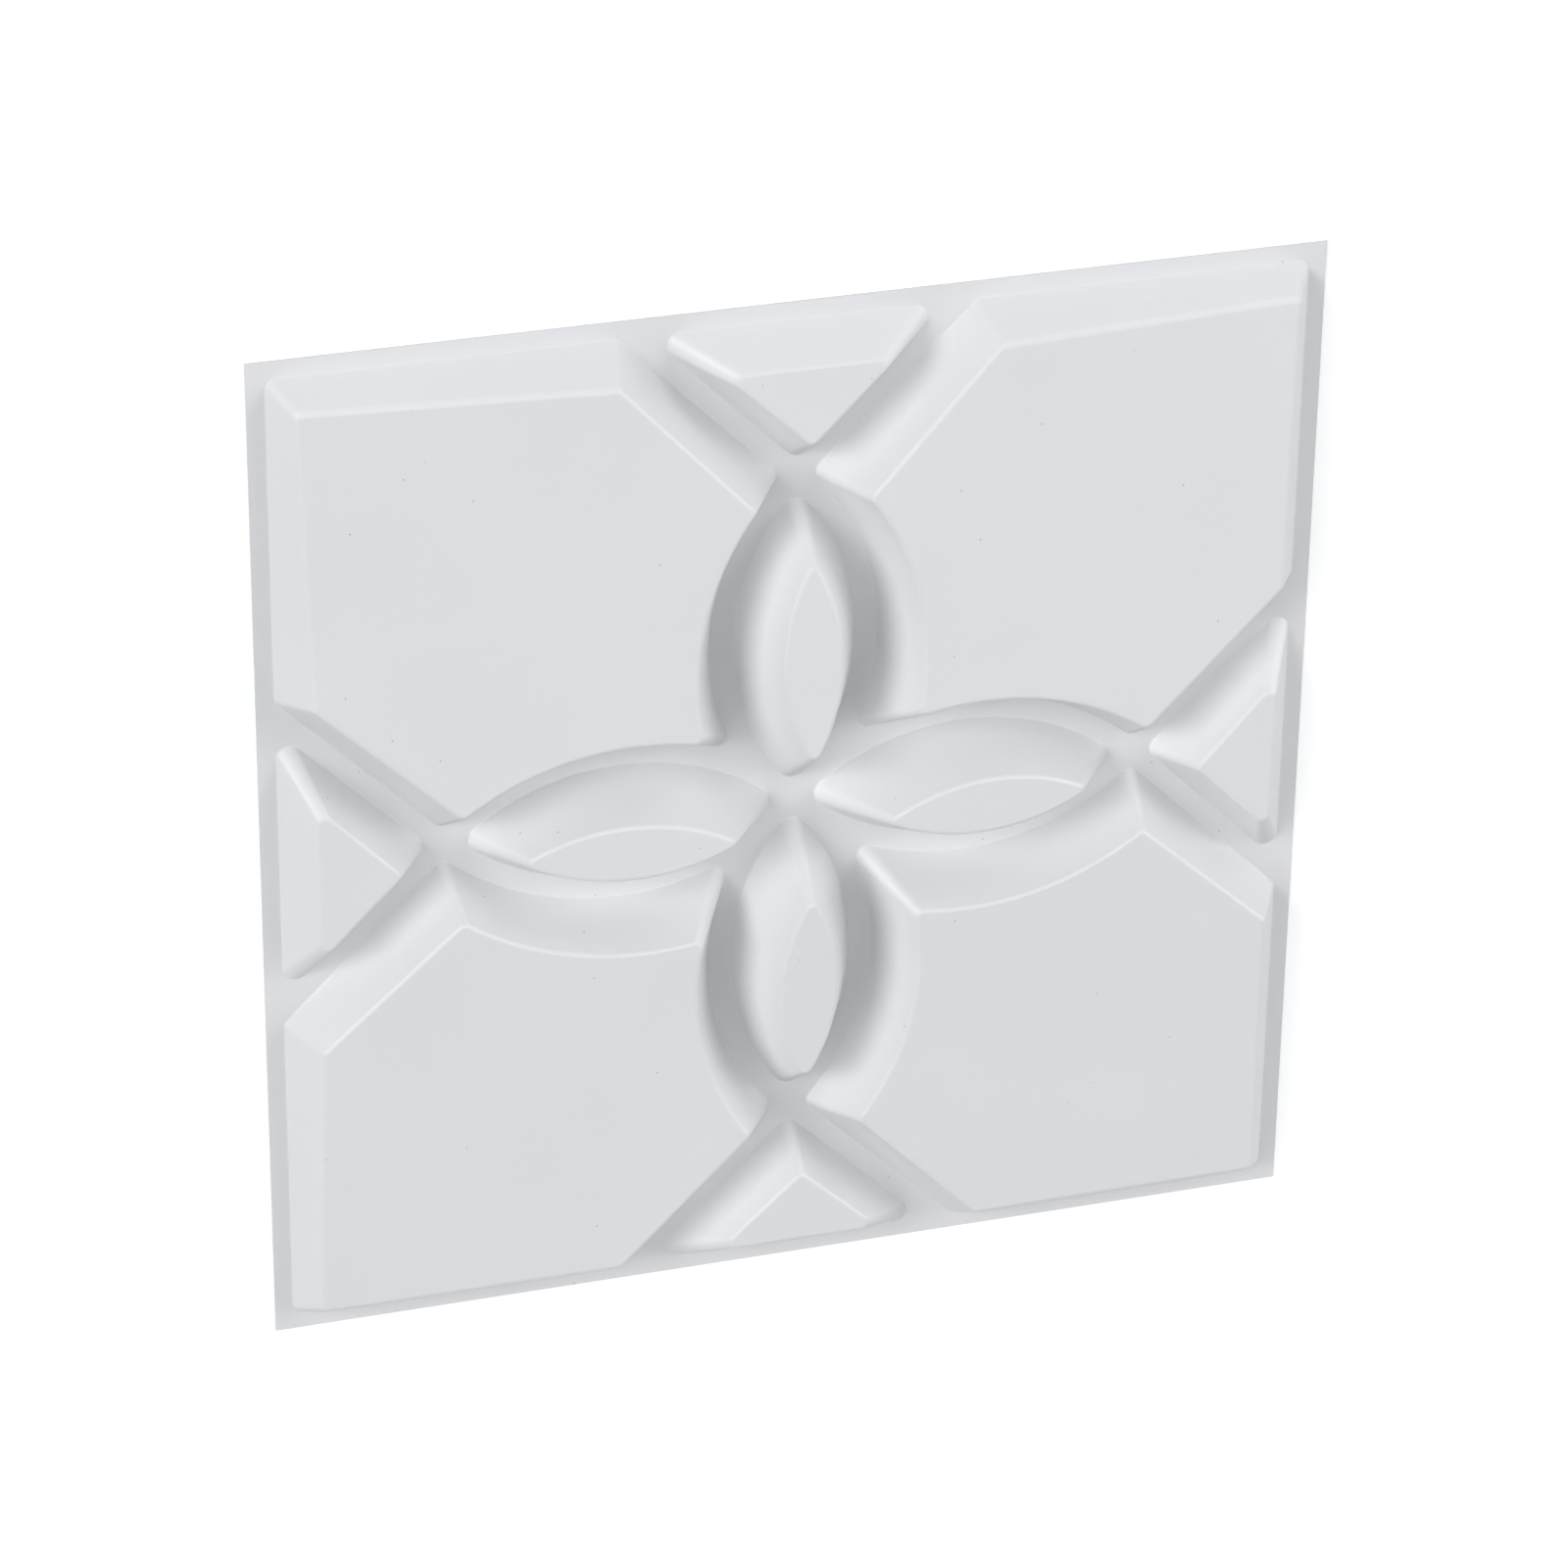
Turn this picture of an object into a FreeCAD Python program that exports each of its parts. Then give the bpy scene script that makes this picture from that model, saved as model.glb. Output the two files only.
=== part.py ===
import FreeCAD, Part
import math
import os

from FreeCAD import Vector

# A square decorative wall tile, thermoformed from one plastic sheet. It lies on its back with
# the relief up. The origin is on the back face under the tile's centre, X and Y run along the
# sides and Z points out of the relief. All lengths are in millimetres, all angles in degrees.
# Plan sizes are taken on the flat face that the relief rises from, and heights above that face.

# Sheet
tile_side = 500.0
sheet_thickness = 1.0

# Flat strips left between the raised forms
flange_width = 8.5
triangle_channel = 10.2
petal_channel = 11.2
petal_to_triangle = 15.0
centre_to_petal = 6.8

# Four petals round the centre, pointed ovals between two arcs
petal_width = 57.6
petal_height = 33.0
petal_tilt = 4.0
petal_draft = 24.8
petal_tip_radius = 7.0
petal_top_tip_radius = 4.6

# Four triangles at the middle of the sides, with the apex towards the centre
triangle_depth = 68.9
triangle_height = 24.0
triangle_tilt = 3.2
triangle_outer_draft = 30.5
triangle_leg_draft = 26.5
triangle_corner_radius = 6.0
triangle_top_corner_radius = 3.2

# Four corner pads, whose faces fall from the centre towards the tile's corners
pad_corner_height = 17.8
pad_tilt = 3.3
pad_draft = 28.5
pad_recess_draft = 24.0
pad_corner_radius = 5.0
pad_top_corner_radius = 3.6

# Rounding along the top edges, on the face side
crease_radius = 2.6

half_side = tile_side / 2
form_edge = half_side - flange_width
triangle_apex = form_edge - triangle_depth
petal_outer_tip = triangle_apex - petal_to_triangle
petal_length = petal_outer_tip - centre_to_petal
petal_centre = (petal_outer_tip + centre_to_petal) / 2
petal_arc_radius = (petal_length ** 2 + petal_width ** 2) / (4 * petal_width)
petal_arc_offset = petal_arc_radius - petal_width / 2


def heading(angle):
    return Vector(math.cos(math.radians(angle)), math.sin(math.radians(angle)), 0)


def slope(angle):
    return math.tan(math.radians(angle))


class FlatSide:
    """A side that is straight in plan, square to a heading and at a distance from the centre."""

    def __init__(self, angle, distance, draft):
        self.normal = heading(angle)
        self.along = heading(angle + 90)
        self.distance = distance
        self.draft = draft

    def outward(self, point):
        return self.normal

    def overshoot(self, point):
        return point.dot(self.normal) - self.distance

    def moved_in(self, inset):
        start = self.normal * (self.distance - inset)
        return Part.Line(start, start + self.along)


class ArcSide:
    """A side that is an arc in plan, bulging out of the form or, with sense -1, into it."""

    def __init__(self, x, y, radius, sense, draft):
        self.centre = Vector(x, y, 0)
        self.radius = radius
        self.sense = sense
        self.draft = draft

    def outward(self, point):
        return (point - self.centre).normalize() * self.sense

    def overshoot(self, point):
        return self.sense * (point.distanceToPoint(self.centre) - self.radius)

    def moved_in(self, inset):
        return Part.Circle(self.centre, Vector(0, 0, 1), self.radius - self.sense * inset)


class Form:
    """A raised form: its sides in turn, the face on top and the radius of its plan corners.

    The face falls towards a heading by its tilt. Height is the face's height over the centre
    of the tile, where the face's plane would pass if it were that long."""

    def __init__(self, sides, height, falls_towards, tilt, corner_radius, top_corner_radius):
        self.sides = sides
        self.height = height
        self.fall = heading(falls_towards) * slope(tilt)
        self.corner_radius = corner_radius
        self.top_corner_radius = top_corner_radius


class Outline:
    """The outline of a form at its foot or its top, as pieces of poles and weights.

    Lowered drops it down the walls, reach moves it in from them, and depth puts it on the
    surface that lies so far under the face side of the sheet."""

    def __init__(self, form, at_top, lowered=0.0, reach=0.0, depth=0.0):
        self.height = (form.height if at_top else 0) - lowered
        self.fall = form.fall if at_top else Vector(0, 0, 0)
        self.radius = (form.top_corner_radius if at_top else form.corner_radius) - depth - reach
        self.reach = reach
        self.depth = depth
        self.pieces = []
        sides = form.sides
        corners = [self.corner(sides[i - 1], sides[i]) for i in range(len(sides))]
        for i, side in enumerate(sides):
            start, end = corners[i][1], corners[(i + 1) % len(sides)][0]
            self.pieces.append(self.arc(*corners[i]))
            if isinstance(side, FlatSide):
                self.pieces.append(([self.lifted(start[0]), self.lifted(end[0])], [1.0, 1.0]))
            else:
                self.pieces.append(self.arc(start, end))

    def rise(self, point):
        return self.height - self.fall.dot(point)

    def lifted(self, point):
        return Vector(point.x, point.y, sheet_thickness - self.depth + self.rise(point))

    def inset(self, side, point):
        """How far in plan the outline runs inside a side's foot on the face side."""
        across = self.reach / math.cos(math.radians(side.draft))
        return across + self.depth * slope(45 - side.draft / 2) + self.rise(point) * slope(side.draft)

    def corner(self, before, after):
        """Where the round between two sides touches each of them."""
        centre = Vector(0, 0, 0)
        for attempt in range(8):
            curves = [side.moved_in(self.radius + self.inset(side, centre)) for side in (before, after)]
            for crossing in curves[0].intersectCC(curves[1]):
                point = Vector(crossing.X, crossing.Y, 0)
                if before.outward(point).cross(after.outward(point)).z > 0:
                    centre = point
        return [self.touch(side, centre + side.outward(centre) * self.radius) for side in (before, after)]

    def touch(self, side, point):
        """The point of the outline on a side, beside a given point, and the normal there."""
        for attempt in range(12):
            point = point - side.outward(point) * (side.overshoot(point) + self.inset(side, point))
        normal = side.outward(point) - self.fall * slope(side.draft)
        return point, normal.normalize()

    def arc(self, start, end):
        """The arc that leaves and reaches two points square to their normals."""
        (p, n), (q, m) = start, end
        a, b = n.dot(p), m.dot(q)
        turn = n.cross(m).z
        meeting = Vector((a * m.y - b * n.y) / turn, (b * n.x - a * m.x) / turn, 0)
        weight = math.cos(n.getAngle(m) / 2)
        return [self.lifted(p), self.lifted(meeting), self.lifted(q)], [1.0, weight, 1.0]

    def wire(self):
        edges = []
        for poles, weights in self.pieces:
            curve = Part.BezierCurve()
            curve.setPoles(poles)
            if len(poles) == 3:
                curve.setWeight(2, weights[1])
            edges.append(curve.toShape() if len(poles) == 3 else Part.makeLine(*poles))
        return Part.Wire(edges)


def patch(rows, row_weights):
    """A face through the same piece of two outlines, or rounded over the middle one of three."""
    poles = [row[0] for row in rows]
    weights = [[w * row_weight for w in row[1]] for row, row_weight in zip(rows, row_weights)]
    across, along = len(poles), len(poles[0])
    if across == along == 2:
        corners = poles[0] + poles[1][::-1]
        return Part.Face(Part.makePolygon(corners + corners[:1]))
    surface = Part.BSplineSurface()
    surface.buildFromPolesMultsKnots(poles, [across, across], [along, along], [0, 1], [0, 1],
                                     False, False, across - 1, along - 1, weights)
    return surface.toShape()


def wall(foot, top):
    return [patch(rows, [1.0, 1.0]) for rows in zip(foot.pieces, top.pieces)]


def rounding(start, sharp, end, turn):
    weight = math.cos(math.radians(turn / 2))
    return [patch(rows, [1.0, weight, 1.0]) for rows in zip(start.pieces, sharp.pieces, end.pieces)]


def flat_face(*wires):
    return Part.makeFace(list(wires), "Part::FaceMakerBullseye")


def face_side(form):
    """The skin of a form on the face side, and its foot in the flat face."""
    draft = form.sides[0].draft
    crease = crease_radius * (1 - math.sin(math.radians(draft)))
    foot = Outline(form, at_top=False)
    wall_top = Outline(form, at_top=True, lowered=crease)
    sharp = Outline(form, at_top=True)
    rim = Outline(form, at_top=True, reach=crease)
    skin = wall(foot, wall_top) + rounding(wall_top, sharp, rim, 90 - draft)
    return skin + [flat_face(rim.wire())], foot.wire()


def back_side(form):
    """The skin of the hollow behind a form, and its foot in the flat back."""
    foot = Outline(form, at_top=False, depth=sheet_thickness)
    top = Outline(form, at_top=True, depth=sheet_thickness)
    return wall(foot, top) + [flat_face(top.wire())], foot.wire()


def petal():
    sides = [ArcSide(petal_centre, -petal_arc_offset, petal_arc_radius, 1, petal_draft),
             ArcSide(petal_centre, petal_arc_offset, petal_arc_radius, 1, petal_draft)]
    height = petal_height + petal_centre * slope(petal_tilt)
    return Form(sides, height, 0, petal_tilt, petal_tip_radius, petal_top_tip_radius)


def triangle():
    leg = -triangle_apex * math.sqrt(0.5)
    sides = [FlatSide(0, form_edge, triangle_outer_draft),
             FlatSide(135, leg, triangle_leg_draft),
             FlatSide(225, leg, triangle_leg_draft)]
    height = triangle_height + (triangle_apex + form_edge) / 2 * slope(triangle_tilt)
    return Form(sides, height, 0, triangle_tilt, triangle_corner_radius, triangle_top_corner_radius)


def pad():
    leg = triangle_apex * math.sqrt(0.5) - triangle_channel
    recess = petal_arc_radius + petal_channel
    sides = [FlatSide(0, form_edge, pad_draft),
             FlatSide(90, form_edge, pad_draft),
             FlatSide(135, leg, pad_draft),
             ArcSide(-petal_arc_offset, petal_centre, recess, -1, pad_recess_draft),
             ArcSide(petal_centre, -petal_arc_offset, recess, -1, pad_recess_draft),
             FlatSide(315, leg, pad_draft)]
    outer_corner = math.sqrt(2) * (form_edge - pad_corner_height * slope(pad_draft))
    height = pad_corner_height + outer_corner * slope(pad_tilt)
    return Form(sides, height, 45, pad_tilt, pad_corner_radius, pad_top_corner_radius)


def turned(shape, quarter):
    return shape.rotated(Vector(0, 0, 0), Vector(0, 0, 1), 90 * quarter)


def wall_panel():
    corners = [heading(45 + 90 * i) * half_side * math.sqrt(2) for i in range(4)]
    back = Part.makePolygon(corners + corners[:1])
    front = back.translated(Vector(0, 0, sheet_thickness))
    faces = [Part.makeRuledSurface(low, high) for low, high in zip(back.Edges, front.Edges)]
    for sheet_edge, skin_of in ((front, face_side), (back, back_side)):
        edges = [sheet_edge]
        for form in (petal(), triangle(), pad()):
            skin, foot = skin_of(form)
            for quarter in range(4):
                edges.append(turned(foot, quarter))
                faces += [turned(face, quarter) for face in skin]
        faces.append(flat_face(*edges))
    shell = Part.makeCompound(faces)
    shell.sewShape()
    return Part.Solid(shell.Shells[0])


os.makedirs("parts", exist_ok=True)
wall_panel().exportStep("parts/wall_panel.step")
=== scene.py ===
import math

import bmesh
import bpy
from mathutils import Matrix, Vector


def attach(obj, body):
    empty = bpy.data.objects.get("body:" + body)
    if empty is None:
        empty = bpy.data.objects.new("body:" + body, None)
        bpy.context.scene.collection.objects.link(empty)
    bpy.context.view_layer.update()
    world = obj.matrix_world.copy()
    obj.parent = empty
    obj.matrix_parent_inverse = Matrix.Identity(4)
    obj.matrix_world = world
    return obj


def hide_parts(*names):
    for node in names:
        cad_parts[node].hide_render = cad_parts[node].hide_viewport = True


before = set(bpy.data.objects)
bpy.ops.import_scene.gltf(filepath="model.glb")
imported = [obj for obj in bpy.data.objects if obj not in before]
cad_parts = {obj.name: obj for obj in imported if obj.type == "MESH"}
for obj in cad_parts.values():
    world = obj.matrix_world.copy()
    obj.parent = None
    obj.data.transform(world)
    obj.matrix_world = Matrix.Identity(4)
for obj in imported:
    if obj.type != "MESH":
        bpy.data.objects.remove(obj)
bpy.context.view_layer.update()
bpy.ops.object.select_all(action="DESELECT")
print("frame loaded")

millimetre = 0.001


def linearColour(hexCode):
    channels = [int(hexCode[i:i + 2], 16) / 255 for i in (1, 3, 5)]
    linear = [c / 12.92 if c <= 0.04045 else ((c + 0.055) / 1.055) ** 2.4 for c in channels]
    return (*linear, 1.0)


def addNode(tree, kind, values={}, links={}, **settings):
    node = tree.nodes.new(kind)
    for name, value in settings.items():
        setattr(node, name, value)
    for socket, value in values.items():
        node.inputs[socket].default_value = value
    for socket, source in links.items():
        tree.links.new(source, node.inputs[socket])
    return node


# The tile as it comes off the mould: one sheet, drawn over petals, triangles and corner pads.
# Lengths are in mm and angles in degrees, heights are above the flat face
tileSizes = {
    "side": 500.0,
    "sheet": 1.0,
    "formEdge": 241.5,          # from the middle to where the outer forms start
    "petalTips": (6.8, 157.6),
    "petalWidth": 57.6,
    "petalChannel": 11.2,
    "triangleApex": 172.6,
    "triangleChannel": 10.2,
    "rootRadius": 0.9,          # round along the feet of the forms
    "creaseRadius": 2.6,        # round along their top edges
    "cornerSearch": 15.0,       # how far inside a corner the search for its round starts
}
petalLook = {
    "height": 33.0,
    "tilt": 3.7,
    "draft": 24.8,
    "footRadius": 7.0,
    "topRadius": 2.8,
}
triangleLook = {
    "height": 24.0,
    "tilt": 3.2,
    "outerDraft": 30.5,
    "legDraft": 26.5,
    "footRadius": 6.0,
    "topRadius": 3.6,
}
padLook = {
    "cornerHeight": 17.8,
    "tilt": 3.3,
    "draft": 28.5,
    "recessDraft": 24.0,
    "footRadius": 5.0,
    "topRadius": 3.8,
    "outerCrease": 4.4,
}
meshSteps = {
    "root": 3,
    "wall": 4,
    "crease": 5,
    "corner": 8,
    "arc": 44,
    "flat": 8,
    "smoothAngle": 35.0,
    "flatWeight": 80,
}


def slope(angle):
    return math.tan(math.radians(angle))


def heading(angle):
    return Vector((math.cos(angle), math.sin(angle)))


# A side tells which way is outward at a point, how far a point lies past its foot, and its draft
def flatSide(angle, distance, draft, crease=tileSizes["creaseRadius"]):
    normal = heading(math.radians(angle))
    return {"outward": lambda p: normal, "past": lambda p: p.dot(normal) - distance,
            "draft": draft, "crease": crease, "steps": meshSteps["flat"]}


def arcSide(x, y, radius, sense, draft):
    centre = Vector((x, y))
    return {"outward": lambda p: (p - centre).normalized() * sense,
            "past": lambda p: sense * ((p - centre).length - radius),
            "draft": draft, "crease": tileSizes["creaseRadius"], "steps": meshSteps["arc"]}


def petalArc():
    inner, outer = tileSizes["petalTips"]
    width = tileSizes["petalWidth"]
    radius = ((outer - inner) ** 2 + width ** 2) / (4 * width)
    return (inner + outer) / 2, radius, radius - width / 2


# Each form gives its sides in turn, and a guess of each corner's centre, the first before side one
def petalForm():
    look = petalLook
    middle, radius, offset = petalArc()
    inner, outer = tileSizes["petalTips"]
    inside = tileSizes["cornerSearch"]
    return {**look, "towards": 0, "level": look["height"] + middle * slope(look["tilt"]),
            "sides": [arcSide(middle, -offset, radius, 1, look["draft"]),
                      arcSide(middle, offset, radius, 1, look["draft"])],
            "guesses": [(outer - inside, 0), (inner + inside, 0)]}


def triangleForm():
    look = triangleLook
    apex, edge = tileSizes["triangleApex"], tileSizes["formEdge"]
    leg = -apex * math.sqrt(0.5)
    inside = tileSizes["cornerSearch"]
    low = apex - edge + 2 * inside
    return {**look, "towards": 0, "level": look["height"] + (apex + edge) / 2 * slope(look["tilt"]),
            "sides": [flatSide(0, edge, look["outerDraft"]),
                      flatSide(135, leg, look["legDraft"]),
                      flatSide(225, leg, look["legDraft"])],
            "guesses": [(edge - inside, low), (edge - inside, -low), (apex + inside, 0)]}


def padForm():
    look = padLook
    draft, soft = look["draft"], look["outerCrease"]
    middle, radius, offset = petalArc()
    recess = radius + tileSizes["petalChannel"]
    edge = tileSizes["formEdge"]
    leg = tileSizes["triangleApex"] * math.sqrt(0.5) - tileSizes["triangleChannel"]
    outerCorner = math.sqrt(2) * (edge - look["cornerHeight"] * slope(draft))
    inside = tileSizes["cornerSearch"]
    far, near, start = edge - inside, 3 * inside, leg * math.sqrt(2) + 2 * inside
    low = edge - leg * math.sqrt(2) + 2 * inside
    return {**look, "towards": 45, "level": look["cornerHeight"] + outerCorner * slope(look["tilt"]),
            "sides": [flatSide(0, edge, draft, soft),
                      flatSide(90, edge, draft, soft),
                      flatSide(135, leg, draft),
                      arcSide(-offset, middle, recess, -1, look["recessDraft"]),
                      arcSide(middle, -offset, recess, -1, look["recessDraft"]),
                      flatSide(315, leg, draft)],
            "guesses": [(far, low), (far, far), (low, far), (near, start), (near, near), (start, near)]}


def fallOf(form):
    return heading(math.radians(form["towards"])) * slope(form["tilt"])


# The outline of a form at its foot or its top: each point with the way out and its crease radius
def outline(form, atTop):
    sides = form["sides"]
    radius = form["topRadius" if atTop else "footRadius"]

    def rise(p):
        return form["level"] - fallOf(form).dot(p) if atTop else 0.0

    def tooFar(side, p):
        return side["past"](p) + rise(p) * slope(side["draft"])

    def cornerCentre(before, after, guess):
        p = Vector(guess)
        for attempt in range(30):
            n, m = before["outward"](p), after["outward"](p)
            a, b = tooFar(before, p) + radius, tooFar(after, p) + radius
            turn = n.x * m.y - n.y * m.x
            p = p - Vector(((a * m.y - b * n.y) / turn, (b * n.x - a * m.x) / turn))
        return p

    def cornerRound(before, after, guess):
        centre = cornerCentre(before, after, guess)
        n, m = before["outward"](centre), after["outward"](centre)
        first = math.atan2(n.y, n.x)
        sweep = (math.atan2(m.y, m.x) - first) % (2 * math.pi)
        spots = []
        for k in range(meshSteps["corner"] + 1):
            share = k / meshSteps["corner"]
            way = heading(first + sweep * share)
            crease = before["crease"] + (after["crease"] - before["crease"]) * share
            spots.append((centre + way * radius, way, crease))
        return spots

    corners = [cornerRound(sides[i - 1], side, form["guesses"][i]) for i, side in enumerate(sides)]
    spots = []
    for i, side in enumerate(sides):
        spots += corners[i]
        start, end = corners[i][-1][0], corners[(i + 1) % len(sides)][0][0]
        for k in range(1, side["steps"]):
            p = start.lerp(end, k / side["steps"])
            for attempt in range(8):
                p = p - side["outward"](p) * tooFar(side, p)
            spots.append((p, side["outward"](p), side["crease"]))
    return [(Vector((p.x, p.y, tileSizes["sheet"] + rise(p))), n, crease) for p, n, crease in spots]


def roundedRings(starts, bends, ends, turn, steps):
    weight = math.cos(turn / 2)
    rings = []
    for k in range(steps + 1):
        t = k / steps
        a, b, c = (1 - t) ** 2, 2 * t * (1 - t) * weight, t ** 2
        rings.append([(p * a + q * b + r * c) / (a + b + c) for p, q, r in zip(starts, bends, ends)])
    return rings


# From the flat face over the round at the foot, up the wall and over the crease to the form's face
def formRings(form):
    feet, tops = outline(form, False), outline(form, True)
    fall = fallOf(form)
    turn = math.radians(90 - form["sides"][0]["draft"])
    reach = math.tan(turn / 2)
    root = tileSizes["rootRadius"] * reach
    foot, top = [p for p, n, crease in feet], [p for p, n, crease in tops]
    up = [(q - p).normalized() for p, q in zip(foot, top)]
    floor = [p + Vector((n.x, n.y, 0)) * root for p, n, crease in feet]
    low = [p + u * root for p, u in zip(foot, up)]
    high = [q - u * crease * reach for (q, n, crease), u in zip(tops, up)]
    rim = [q + Vector((-n.x, -n.y, fall.dot(n))).normalized() * crease * reach for q, n, crease in tops]
    rings = roundedRings(floor, foot, low, turn, meshSteps["root"])
    for k in range(1, meshSteps["wall"]):
        rings.append([p.lerp(q, k / meshSteps["wall"]) for p, q in zip(low, high)])
    return rings + roundedRings(high, top, rim, turn, meshSteps["crease"])


def drawnForm(form, name):
    rings = formRings(form)
    bpy.ops.mesh.primitive_circle_add(vertices=len(rings[0]), radius=rings[0][0].length * millimetre)
    piece = bpy.context.object
    piece.name = name
    bpy.ops.object.mode_set(mode="EDIT")
    skin = bmesh.from_edit_mesh(piece.data)
    skin.verts.layers.int.new("spot")
    spot = skin.verts.layers.int["spot"]
    for number, vertex in enumerate(skin.verts):
        vertex[spot] = number
        vertex.co = rings[0][number] * millimetre
    bmesh.update_edit_mesh(piece.data)
    for ring in rings[1:]:
        bpy.ops.mesh.extrude_edges_move()
        skin = bmesh.from_edit_mesh(piece.data)
        spot = skin.verts.layers.int["spot"]
        for vertex in skin.verts:
            if vertex.select:
                vertex.co = ring[vertex[spot]] * millimetre
        bmesh.update_edit_mesh(piece.data)
    bpy.ops.mesh.edge_face_add()
    bpy.ops.mesh.select_all(action="DESELECT")
    bpy.ops.object.mode_set(mode="OBJECT")
    piece.select_set(False)
    return piece


def quarterTurns(piece):
    pieces = [piece]
    for quarter in range(1, 4):
        copy = piece.copy()
        copy.data = piece.data.copy()
        copy.data.transform(Matrix.Rotation(math.pi / 2 * quarter, 4, "Z"))
        bpy.context.scene.collection.objects.link(copy)
        pieces.append(copy)
    return pieces


# The flat face is filled in between the tile's edge and the feet of all forms
def drawnSkin():
    forms = []
    for form, name in ((petalForm(), "petal"), (triangleForm(), "triangle"), (padForm(), "pad")):
        forms += quarterTurns(drawnForm(form, name))
        print(name, "drawn")
    faceHeight = (0, 0, tileSizes["sheet"] * millimetre)
    bpy.ops.mesh.primitive_plane_add(size=tileSizes["side"] * millimetre, location=faceHeight)
    tile = bpy.context.object
    tile.name = "drawn_tile"
    bpy.ops.object.transform_apply(location=True)
    bpy.ops.object.mode_set(mode="EDIT")
    bpy.ops.mesh.delete(type="ONLY_FACE")
    bpy.ops.object.mode_set(mode="OBJECT")
    for piece in forms:
        piece.select_set(True)
    bpy.context.view_layer.objects.active = tile
    bpy.ops.object.join()
    bpy.ops.object.mode_set(mode="EDIT")
    bpy.ops.mesh.select_all(action="DESELECT")
    bpy.ops.mesh.select_mode(type="EDGE")
    skin = bmesh.from_edit_mesh(tile.data)
    for edge in skin.edges:
        if len(edge.link_faces) < 2:
            edge.select_set(True)
    bmesh.update_edit_mesh(tile.data)
    bpy.ops.mesh.fill(use_beauty=True)
    bpy.ops.mesh.select_all(action="SELECT")
    bpy.ops.mesh.remove_doubles(threshold=0.001 * millimetre)
    bpy.ops.mesh.normals_make_consistent(inside=False)
    bpy.ops.object.mode_set(mode="OBJECT")
    if sum(face.normal.z * face.area for face in tile.data.polygons) < 0:
        tile.data.flip_normals()
    return tile


# The skin gets the sheet's thickness downwards, and even shading on its flat faces
def drawnTile():
    tile = drawnSkin()
    sheet = tile.modifiers.new("sheet", "SOLIDIFY")
    sheet.thickness = tileSizes["sheet"] * millimetre
    sheet.offset = -1.0
    sheet.use_even_offset = True
    bpy.ops.object.modifier_apply(modifier="sheet")
    bpy.ops.object.shade_smooth_by_angle(angle=math.radians(meshSteps["smoothAngle"]))
    shading = tile.modifiers.new("flat_faces", "WEIGHTED_NORMAL")
    shading.keep_sharp = True
    shading.weight = meshSteps["flatWeight"]
    bpy.ops.object.modifier_apply(modifier="flat_faces")
    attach(tile, "root")
    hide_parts("wall_panel")
    bpy.ops.object.select_all(action="DESELECT")
    return tile


tile = drawnTile()
print("sheet drawn")


# Rigid PVC sheet, thermoformed over a mould: cool white, satin, a faint
# orange peel where the sheet cooled, and a few dark specks in the plastic
sheetFinish = {
    "colour": "#E2E3E5",
    "shadeColour": "#DDDEE1",
    "speckColour": "#A3A4A8",
    "speckSpacing": 14.0,   # mm, between specks in the plastic, of which the surface cuts a few
    "speckSize": 1.0,       # mm across
    "speckCore": 0.5,       # share of a speck that has its full colour
    "roughness": 0.42,
    "ior": 1.54,
    "cloudSize": 90.0,      # mm, slow change of shade across the sheet
    "cloudDetail": 2.0,
    "peelSize": 2.4,        # mm, between the bumps of the orange peel
    "peelDepth": 0.012,     # mm
    "peelDetail": 1.0,
}


def perMetre(size):
    return 1 / (size * millimetre)


def formedPvc():
    look = sheetFinish
    material = bpy.data.materials.new("PVC sheet, thermoformed, satin white")
    material.use_nodes = True
    tree = material.node_tree
    tree.nodes.clear()
    place = {"Vector": addNode(tree, "ShaderNodeTexCoord").outputs["Object"]}
    clouds = addNode(tree, "ShaderNodeTexNoise",
                     {"Scale": perMetre(look["cloudSize"]), "Detail": look["cloudDetail"]}, place)
    tint = addNode(tree, "ShaderNodeValToRGB", links={"Fac": clouds.outputs["Fac"]})
    tint.color_ramp.elements[0].color = linearColour(look["colour"])
    tint.color_ramp.elements[1].color = linearColour(look["shadeColour"])
    specks = addNode(tree, "ShaderNodeTexVoronoi", {"Scale": perMetre(look["speckSpacing"])}, place)
    reach = look["speckSize"] / 2 / look["speckSpacing"]
    inSpeck = addNode(tree, "ShaderNodeMapRange", {"From Min": reach, "From Max": reach * look["speckCore"]},
                      {"Value": specks.outputs["Distance"]})
    # The mix node's sockets 6 and 7 and its output 2 are colours
    shade = addNode(tree, "ShaderNodeMix", {7: linearColour(look["speckColour"])},
                    {"Factor": inSpeck.outputs["Result"], 6: tint.outputs["Color"]}, data_type="RGBA")
    peel = addNode(tree, "ShaderNodeTexNoise",
                   {"Scale": perMetre(look["peelSize"]), "Detail": look["peelDetail"]}, place)
    bumps = addNode(tree, "ShaderNodeBump", {"Strength": 1.0, "Distance": look["peelDepth"] * millimetre},
                    {"Height": peel.outputs["Fac"]})
    plastic = addNode(tree, "ShaderNodeBsdfPrincipled", {"Roughness": look["roughness"], "IOR": look["ior"]},
                      {"Base Color": shade.outputs[2], "Normal": bumps.outputs["Normal"]})
    addNode(tree, "ShaderNodeOutputMaterial", links={"Surface": plastic.outputs["BSDF"]})
    return material


tile.data.materials.clear()
tile.data.materials.append(formedPvc())
print("sheet finished")

# The floor is white to the camera and still takes the tile's shadow
floorLook = {
    "size": 12.0,
    "colour": "#D8D9DA",
    "lift": 0.40,
}


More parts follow.
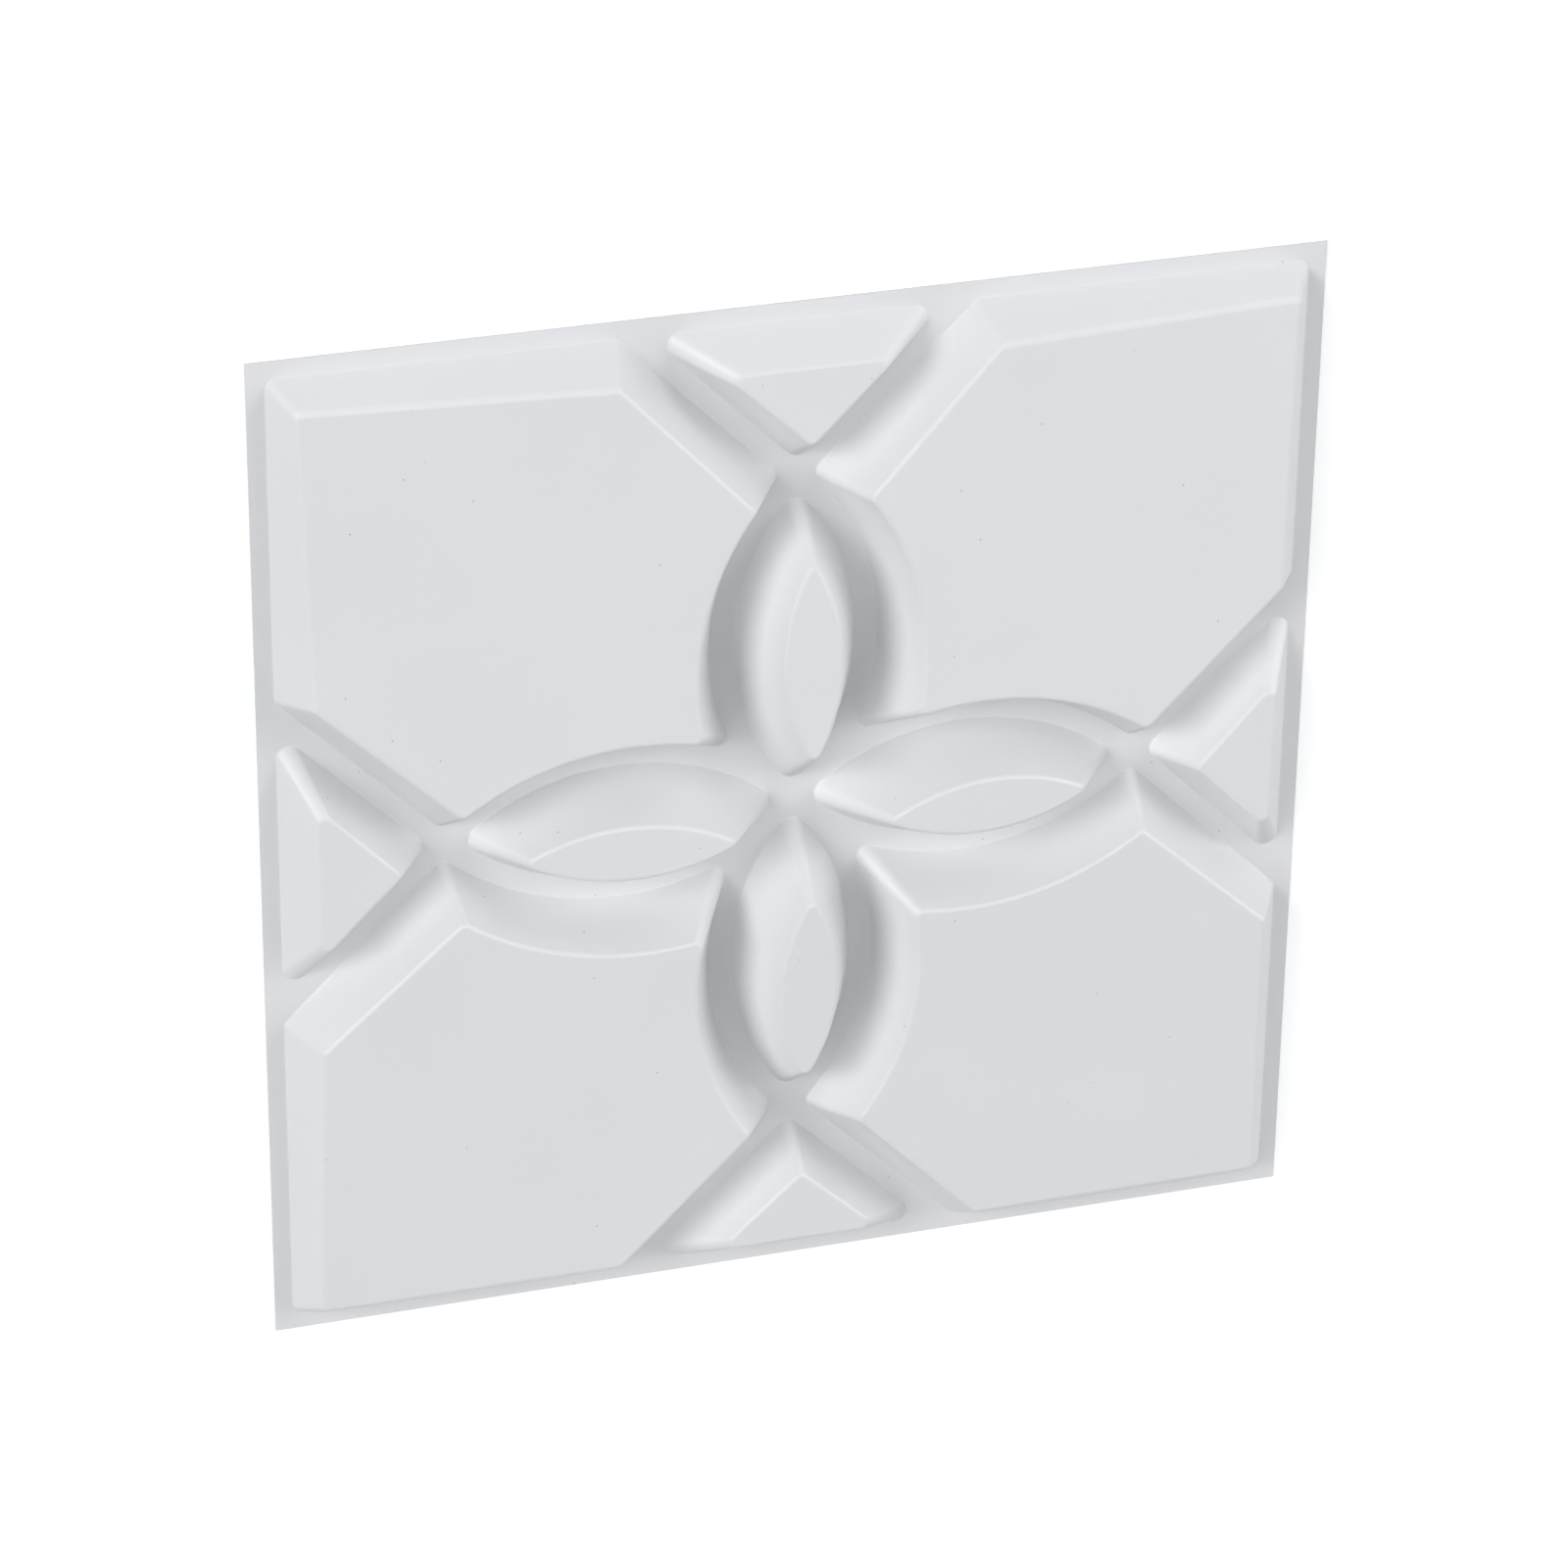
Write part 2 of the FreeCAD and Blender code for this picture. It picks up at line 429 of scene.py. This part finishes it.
def studioFloor():
    bpy.ops.mesh.primitive_plane_add(size=floorLook["size"], location=(0, 0, 0))
    floor = bpy.context.object
    floor.name = "studio_floor"
    material = bpy.data.materials.new("Paper, matt white")
    material.use_nodes = True
    tree = material.node_tree
    tree.nodes.clear()
    paper = addNode(tree, "ShaderNodeBsdfDiffuse", {"Color": linearColour(floorLook["colour"])})
    seen = addNode(tree, "ShaderNodeLightPath").outputs["Is Camera Ray"]
    strength = addNode(tree, "ShaderNodeMath", {1: floorLook["lift"]}, {0: seen}, operation="MULTIPLY")
    glow = addNode(tree, "ShaderNodeEmission", links={"Strength": strength.outputs["Value"]})
    both = addNode(tree, "ShaderNodeAddShader", links={0: paper.outputs["BSDF"], 1: glow.outputs["Emission"]})
    addNode(tree, "ShaderNodeOutputMaterial", links={"Surface": both.outputs["Shader"]})
    floor.data.materials.append(material)


studioFloor()
print("floor laid")

# Soft lamps far off, each given by its height over the floor and its bearing from the +X side,
# in degrees, and its strength. The strong ones stand to the left and the right of the tile
studio = {
    "background": "#FFFFFF",
    "softness": 26.0,
    "lamps": [(12, 0, 0.253), (12, 60, 0.134), (12, 270, 0.161), (30, 25, 0.205), (30, 155, 0.469),
              (30, 205, 0.118), (48, 0, 0.155), (48, 120, 0.118), (48, 180, 0.108), (75, 90, 0.198)],
}


def backdrop():
    world = bpy.data.worlds.new("White backdrop")
    bpy.context.scene.world = world
    world.use_nodes = True
    tree = world.node_tree
    tree.nodes.clear()
    seen = addNode(tree, "ShaderNodeLightPath").outputs["Is Camera Ray"]
    white = addNode(tree, "ShaderNodeBackground", {"Color": linearColour(studio["background"])},
                    {"Strength": seen})
    addNode(tree, "ShaderNodeOutputWorld", links={"Surface": white.outputs["Background"]})


def softLamp(rise, bearing, strength):
    lamp = bpy.data.lights.new("soft_lamp", "SUN")
    lamp.angle = math.radians(studio["softness"])
    lamp.energy = strength * math.pi
    lampObject = bpy.data.objects.new("soft_lamp", lamp)
    bpy.context.scene.collection.objects.link(lampObject)
    lampObject.rotation_euler = (0.0, math.radians(90 - rise), math.radians(bearing))


backdrop()
for rise, bearing, strength in studio["lamps"]:
    softLamp(rise, bearing, strength)
print("lamps lit")

# Seen from above and from the tile's upper left, from 2.9 m away
view = {
    "place": (-0.7495, 1.4012, 2.4244),
    "turn": (-29.006, -16.737, 0.697),
    "lens": 144.27,
    "sensor": 36.0,
    "farthest": 50.0,
}


def studioCamera():
    camera = bpy.data.cameras.new("camera")
    camera.lens = view["lens"]
    camera.sensor_width = view["sensor"]
    camera.clip_end = view["farthest"]
    cameraObject = bpy.data.objects.new("camera", camera)
    bpy.context.scene.collection.objects.link(cameraObject)
    cameraObject.location = view["place"]
    cameraObject.rotation_euler = [math.radians(angle) for angle in view["turn"]]
    bpy.context.scene.camera = cameraObject


studioCamera()
bpy.context.scene.view_settings.view_transform = "Standard"
print("camera placed")
